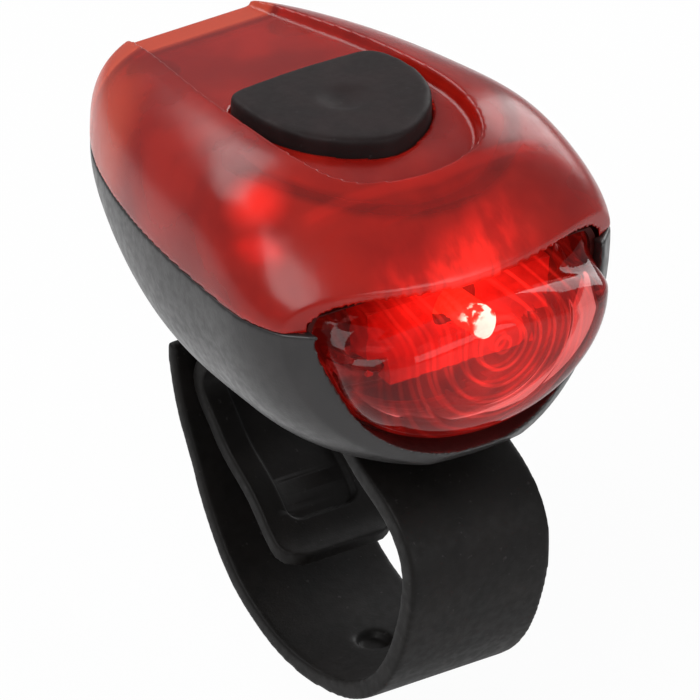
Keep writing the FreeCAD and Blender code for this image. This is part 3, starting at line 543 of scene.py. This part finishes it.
def moulded(node, name, voxel, passes, keep, carve):
    """A copy of a CAD node with an even mesh and rounded edges; millimetres while it is made."""
    source = frame["nodes"][node]
    build = bmesh.new()
    build.from_mesh(source.data)
    bmesh.ops.transform(build, matrix=Matrix.Scale(1 / MM, 4), verts=build.verts)
    bmesh.ops.remove_doubles(build, verts=build.verts, dist=MERGE_DISTANCE)
    mesh = bpy.data.meshes.new(name)
    build.to_mesh(mesh)
    build.free()
    item = bpy.data.objects.new(name, mesh)
    bpy.context.scene.collection.objects.link(item)
    applied(item, "REMESH", mode="VOXEL", voxel_size=voxel, adaptivity=0.0)
    points = points_of(item.data)
    edges = edges_of(item.data)
    points = smoothed(points, edges, passes)
    if carve:
        points = carve(points, edges)
    item.data.vertices.foreach_set("co", points.ravel())
    item.data.update()
    applied(item, "DECIMATE", ratio=keep)
    item.data.transform(Matrix.Scale(MM, 4))
    item.data.update()
    dress(item, source["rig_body"], slot_of[node], node)


def band_place(points, side):
    """Run along a band's outer side, and depth under it, for points seen from the side."""
    line = np.array(side, float) + (VISOR_Y, PARTING_Z)
    start, way = line[:-1], np.diff(line, axis=0)
    length = np.linalg.norm(way, axis=1)
    before = np.concatenate([[0], np.cumsum(length)[:-1]])
    flat = points[:, None, 1:] - start[None]
    along = np.clip((flat * way).sum(2) / length ** 2, 0, 1)
    gap = flat - along[..., None] * way
    nearest = (gap ** 2).sum(2).argmin(1)
    pick = np.arange(len(points))
    run = before[nearest] + along[pick, nearest] * length[nearest]
    unit = way / length[:, None]
    inward = np.stack([unit[:, 1], -unit[:, 0]], axis=1)[nearest]
    depth = (gap[pick, nearest] * inward).sum(1)
    return run, depth, inward


# the pad's outer side in the light's own frame, as Y and Z in millimetres
PAD_OUTER = [
    (15.0, -14.9), (20.0, -14.9), (25.2, -14.95), (28.2, -15.9), (29.9, -17.6),
    (31.0, -18.9), (31.9, -20.9), (31.3, -23.0), (29.9, -24.6), (27.8, -26.8),
    (23.9, -29.5), (22.1, -31.1), (20.1, -33.0), (17.3, -34.1),
]
PAD_HALF_WIDTH = 6.1
PAD_MID_DEPTH = 0.9

# the sunken panel: its start along the pad, its margins, depth, corner radius and soft edge
PANEL_START = 19.0
PANEL_SIDE = 2.4
PANEL_END = 4.2
PANEL_DEPTH = 0.5
PANEL_CORNER = 1.4
PANEL_EDGE = 0.3


def soft_step(value, low, high):
    """0 below low, 1 above high, and smooth between."""
    t = np.clip((value - low) / (high - low), 0, 1)
    return t * t * (3 - 2 * t)


def carve_pad(points, edges):
    """The sunken panel on the side that faces the bar."""
    run, depth, inward = band_place(points, PAD_OUTER)
    total = run.max()
    middle = (total - PANEL_END + PANEL_START) / 2
    half_run = (total - PANEL_END - PANEL_START) / 2
    half_wide = PAD_HALF_WIDTH - PANEL_SIDE
    across = np.maximum(np.abs(points[:, 0]) - (half_wide - PANEL_CORNER), 0)
    along = np.maximum(np.abs(run - middle) - (half_run - PANEL_CORNER), 0)
    outside = np.hypot(across, along) - PANEL_CORNER
    sunk = PANEL_DEPTH * (1 - soft_step(outside, -PANEL_EDGE, 0.0)) * (depth > PAD_MID_DEPTH)
    points[:, 1:] -= inward * sunk[:, None]
    return points


# heights in the part's frame, in millimetres, between which the button's edge softens
BUTTON_SOFT_FROM = 34.0
BUTTON_SOFT_FULL = 34.6
BUTTON_SOFT_PASSES = 26


def soften_button(points, edges):
    """Wide rounding on the button's upper edge."""
    weight = soft_step(points[:, 2], BUTTON_SOFT_FROM, BUTTON_SOFT_FULL)
    return smoothed(points, edges, BUTTON_SOFT_PASSES, weight)


# node, name of its new piece, voxel in millimetres, smoothing passes, share of the faces kept, carving
MOULDED = [
    ("top_cover", "cover_shell", 0.2, 3, 0.45, None),
    ("bottom_housing", "housing_shell", 0.22, 3, 0.4, None),
    ("strap", "strap_band", 0.25, 5, 0.5, None),
    ("strap_pad", "bar_pad", 0.18, 3, 0.6, carve_pad),
    ("button", "button_dome", 0.15, 5, 0.5, soften_button),
    ("usb_cover", "usb_flap", 0.11, 4, 0.6, None),
]
for moulded_row in MOULDED:
    moulded(*moulded_row)


# Lens with its moulded rings

# the outline's right side, as shares of the half width and of the drop
LENS_SIDE = [(1.0, 0.06), (0.933, 0.296), (0.774, 0.637), (0.537, 0.874), (0.28, 0.978)]
# the shoulder's share of the half width
LENS_SHOULDER = 0.957

# the rings' radii in millimetres, and their form
RINGS = (3.2, 4.5, 6.2, 8.2)
RING_DEPTH = 0.12
RING_RISE_POWER = 1.5
RING_DROP_FROM = 0.88

# shares of the way to the tip: the rings begin, and the corners are smoothed away
RINGS_FROM = 0.45
RINGS_FULL = 0.7
OVAL_FROM = 0.04
OVAL_FULL = 0.55

# how fine the mesh is
OUTLINE_POINTS = 150
OUTER_ROWS = 46
INNER_ROWS = 110

# where the two tips lie along Y, in the light's own frame
TIP_CLEARANCE = 0.03
OUTER_TIP = TIP_CLEARANCE - LENS_BULGE
INNER_TIP = LENS_WALL - LENS_BULGE

# rounding of the flange's rim in millimetres, and small steps in scale at its edges
RIM_ROUNDING = 0.12
RIM_STEP = 0.01
SKIRT_STEP = 0.015
BORE_STEP = 0.03
BORE_START_BEHIND = 1.0


def spline(points, steps):
    """A smooth line through the points, ends free."""
    points = np.array(points, float)
    span = np.linalg.norm(np.diff(points, axis=0), axis=1)
    place = np.concatenate([[0], np.cumsum(span)])
    count = len(points)
    system = np.zeros((count, count))
    right = np.zeros((count, points.shape[1]))
    system[0, 0] = system[-1, -1] = 1
    for k in range(1, count - 1):
        a, b = span[k - 1], span[k]
        system[k, k - 1:k + 2] = a, 2 * (a + b), b
        right[k] = 6 * ((points[k + 1] - points[k]) / b - (points[k] - points[k - 1]) / a)
    bend = np.linalg.solve(system, right)
    at = np.linspace(0, place[-1], steps)
    k = np.clip(np.searchsorted(place, at, side="right") - 1, 0, count - 2)
    h = span[k][:, None]
    u = (at - place[k])[:, None]
    v = h - u
    curved = (bend[k] * v ** 3 + bend[k + 1] * u ** 3) / (6 * h)
    before = (points[k] / h - bend[k] * h / 6) * v
    after = (points[k + 1] / h - bend[k + 1] * h / 6) * u
    return curved + before + after


def lens_line(count):
    """The lens's outline from the beam axis, seen from the front."""
    half = [(LENS_SHOULDER * LENS_HALF_WIDTH, LENS_TOP)]
    half += [(across * LENS_HALF_WIDTH, -down * LENS_DROP) for across, down in LENS_SIDE]
    around = half + [(0, -LENS_DROP)] + [(-x, z) for x, z in reversed(half)]
    curved = spline(around, count)
    top = np.linspace(curved[-1], curved[0], count // 3 + 1)[1:-1]
    line = np.concatenate([curved, top])
    return line - (0, BEAM_Z)


def ring_height(radius):
    """Stepped rings: each rises outwards and drops at its edge."""
    edges = np.array((0.0,) + RINGS)
    k = np.clip(np.searchsorted(edges, radius, side="right") - 1, 0, len(edges) - 2)
    share = np.clip((radius - edges[k]) / (edges[k + 1] - edges[k]), 0, 1)
    drop = 1 - soft_step(share, RING_DROP_FROM, 1.0)
    return RING_DEPTH * share ** RING_RISE_POWER * drop * (radius < RINGS[-1])


def oval_line(line):
    """The oval inside the outline: point for point, in the same directions."""
    tall = np.where(line[:, 1] > 0, line[:, 1].max(), -line[:, 1].min())
    shares = np.stack([line[:, 0] / line[:, 0].max(), line[:, 1] / tall], axis=1)
    shares /= np.linalg.norm(shares, axis=1)[:, None]
    return np.stack([shares[:, 0] * line[:, 0].max(), shares[:, 1] * tall], axis=1)


def dome_rows(line, scale, base, tip, start, rows, rings=False):
    """Rings of points from the foot of a dome to near its tip, with the corners smoothed away."""
    found = []
    oval = oval_line(line)
    turn = np.linspace(0, math.pi / 2, rows)
    shares = start + (1 - start) * np.sin(turn)
    for share in shares[:-1]:
        shrink = (1 - share ** DOME_SQUARENESS) ** (1 / DOME_SQUARENESS)
        rise = (1 - share ** DOME_TOP_SQUARENESS) ** (1 / DOME_TOP_SQUARENESS)
        blend = soft_step(share, OVAL_FROM, OVAL_FULL)
        shape = line * (1 - blend) + oval * blend
        x = shape[:, 0] * scale * shrink
        z = shape[:, 1] * scale * np.where(shape[:, 1] > 0, rise, shrink)
        y = np.full(len(line), base + (tip - base) * share)
        if rings:
            y = y - ring_height(np.hypot(x, z)) * soft_step(share, RINGS_FROM, RINGS_FULL)
        found.append(np.stack([x, y + VISOR_Y, z + BEAM_Z + PARTING_Z], axis=1))
    return found


def closed_rows(rows, tip_points):
    """Faces between rings of points, with a fan at each end."""
    count = len(rows[0])
    vertices = np.concatenate(rows + [np.array(tip_points)])
    faces = []
    for r in range(len(rows) - 1):
        for c in range(count):
            d = (c + 1) % count
            faces.append((r * count + c, r * count + d, (r + 1) * count + d, (r + 1) * count + c))
    tail = len(rows) * count
    for c in range(count):
        d = (c + 1) % count
        faces.append((tail, d, c))
        faces.append((tail + 1, (len(rows) - 1) * count + c, (len(rows) - 1) * count + d))
    return vertices, faces


def lens_rows():
    """All rings of points, from the outer tip over the flange to the inner tip."""
    line = lens_line(OUTLINE_POINTS)
    inner_base = FLANGE_BACK + BORE_START_BEHIND
    bore_start = BORE_START_BEHIND / (inner_base - INNER_TIP)
    outer = dome_rows(line, SKIRT_SCALE, FLANGE_FRONT, OUTER_TIP, 0.0, OUTER_ROWS)
    inner = dome_rows(line, BORE_SCALE, inner_base, INNER_TIP, bore_start, INNER_ROWS, True)

    def flat(scale, y):
        full = np.full(len(line), y + VISOR_Y)
        return np.stack([line[:, 0] * scale, full, line[:, 1] * scale + BEAM_Z + PARTING_Z], axis=1)

    flange = [
        flat(SKIRT_SCALE + SKIRT_STEP, FLANGE_FRONT),
        flat(FLANGE_SCALE - RIM_STEP, FLANGE_FRONT),
        flat(FLANGE_SCALE, FLANGE_FRONT + RIM_ROUNDING),
        flat(FLANGE_SCALE, FLANGE_BACK - RIM_ROUNDING),
        flat(FLANGE_SCALE - RIM_STEP, FLANGE_BACK),
        flat(BORE_SCALE + BORE_STEP, FLANGE_BACK),
    ]
    return outer[::-1] + flange + inner


def make_lens():
    """The lens as one closed mesh, with its faces turned outwards."""
    tips = [(0, tip + VISOR_Y, BEAM_Z + PARTING_Z) for tip in (OUTER_TIP, INNER_TIP)]
    vertices, faces = closed_rows(lens_rows(), tips)
    item = new_piece("front_lens", vertices * MM, faces, "light", "lens_clear", "lens")
    build = bmesh.new()
    build.from_mesh(item.data)
    bmesh.ops.recalc_face_normals(build, faces=build.faces)
    build.to_mesh(item.data)
    build.free()


make_lens()


# CAD nodes that stay

REPLACED = {moulded_row[0] for moulded_row in MOULDED} | {"lens"}
for node_name in frame["nodes"]:
    if node_name not in REPLACED:
        finish_node(node_name, "side_led" if node_name == "side_leds" else slot_of[node_name])


# Floor, light and camera

WHITE = (1, 1, 1, 1)

# the floor's level and half side in metres, and how much of it the camera sees as white
FLOOR_LEVEL = -29.2 * MM
FLOOR_HALF = 3.0
FLOOR_SHOWN_WHITE = 0.93


def pale_material():
    """A pale floor that the camera sees nearly white."""
    look = Look("pale_floor", Roughness=0.85, Specular_IOR_Level=0.2)
    look.mottled((0.88, 0.88, 0.88), (0.90, 0.90, 0.90), 60.0)
    path = look.add("ShaderNodeLightPath")
    bright = look.add("ShaderNodeEmission")
    bright.inputs["Color"].default_value = WHITE
    blend = look.add("ShaderNodeMixShader")
    look.link(look.product(path.outputs["Is Camera Ray"], FLOOR_SHOWN_WHITE), blend.inputs[0])
    look.link(look.shader.outputs[0], blend.inputs[1])
    look.link(bright.outputs[0], blend.inputs[2])
    output = look.tree.nodes["Material Output"]
    look.link(blend.outputs[0], output.inputs["Surface"])
    return look.material


def make_floor():
    """The floor lies under the whole swing of the strap."""
    signs = [(-1, -1), (1, -1), (1, 1), (-1, 1)]
    corners = [(x * FLOOR_HALF, y * FLOOR_HALF, FLOOR_LEVEL) for x, y in signs]
    mesh = bpy.data.meshes.new("floor")
    mesh.from_pydata(corners, [], [(0, 1, 2, 3)])
    item = bpy.data.objects.new("floor", mesh)
    item.data.materials.append(pale_material())
    bpy.context.scene.collection.objects.link(item)


SOFT_COLOUR = (0.96, 0.98, 1.0, 1)
SOFT_STRENGTH = 0.35


def make_world():
    """A soft light all round, which the camera sees as white."""
    world = bpy.data.worlds.new("studio")
    bpy.context.scene.world = world
    world.use_nodes = True
    tree = world.node_tree
    soft = tree.nodes["Background"]
    soft.inputs["Color"].default_value = SOFT_COLOUR
    soft.inputs["Strength"].default_value = SOFT_STRENGTH
    seen = tree.nodes.new("ShaderNodeBackground")
    seen.inputs["Color"].default_value = WHITE
    seen.inputs["Strength"].default_value = 1.0
    path = tree.nodes.new("ShaderNodeLightPath")
    blend = tree.nodes.new("ShaderNodeMixShader")
    tree.links.new(path.outputs["Is Camera Ray"], blend.inputs[0])
    tree.links.new(soft.outputs[0], blend.inputs[1])
    tree.links.new(seen.outputs[0], blend.inputs[2])
    tree.links.new(blend.outputs[0], tree.nodes["World Output"].inputs["Surface"])


# name, place and size in millimetres, power in watts
LAMPS = [
    ("key_soft", (-260, -120, 330), (300, 260), 0.92),
    ("front_soft", (120, -380, 140), (220, 220), 0.40),
    ("rim_right", (320, 160, 180), (160, 260), 0.45),
    ("top_back", (-60, 260, 300), (260, 160), 0.45),
]
LAMP_TARGET = (0, 5, 15)


def lamp(name, place_mm, size_mm, power):
    """A soft rectangular lamp that faces the part."""
    data = bpy.data.lights.new(name, "AREA")
    data.shape = "RECTANGLE"
    data.size, data.size_y = [value * MM for value in size_mm]
    data.energy = power
    item = bpy.data.objects.new(name, data)
    bpy.context.scene.collection.objects.link(item)
    place = Vector(place_mm) * MM
    way = Vector(LAMP_TARGET) * MM - place
    item.location = place
    item.rotation_euler = way.to_track_quat("-Z", "Y").to_euler()


# the view that the photo was measured in
CAMERA_RIGHT = Vector((0.821, -0.571, 0.0097))
CAMERA_BACK = Vector((-0.503, -0.715, 0.486))
VIEW_POINT = Vector((-14.13, -13.32, 25.94)) * MM
CAMERA_DISTANCE = 2.5
VIEW_WIDTH = 60.09 * MM


def make_camera():
    """A long lens that stands in for the photo's near-parallel view."""
    data = bpy.data.cameras.new("camera")
    data.sensor_width = 36
    data.lens = data.sensor_width * CAMERA_DISTANCE / VIEW_WIDTH
    data.clip_start = 0.05
    data.clip_end = 20
    item = bpy.data.objects.new("camera", data)
    bpy.context.scene.collection.objects.link(item)
    back = CAMERA_BACK.normalized()
    up = back.cross(CAMERA_RIGHT).normalized()
    right = up.cross(back)
    turn = Matrix((right, up, back)).transposed().to_4x4()
    item.matrix_world = Matrix.Translation(VIEW_POINT + back * CAMERA_DISTANCE) @ turn
    bpy.context.scene.camera = item


make_floor()
make_world()
for lamp_row in LAMPS:
    lamp(*lamp_row)
make_camera()
bpy.context.scene.view_settings.view_transform = "Standard"
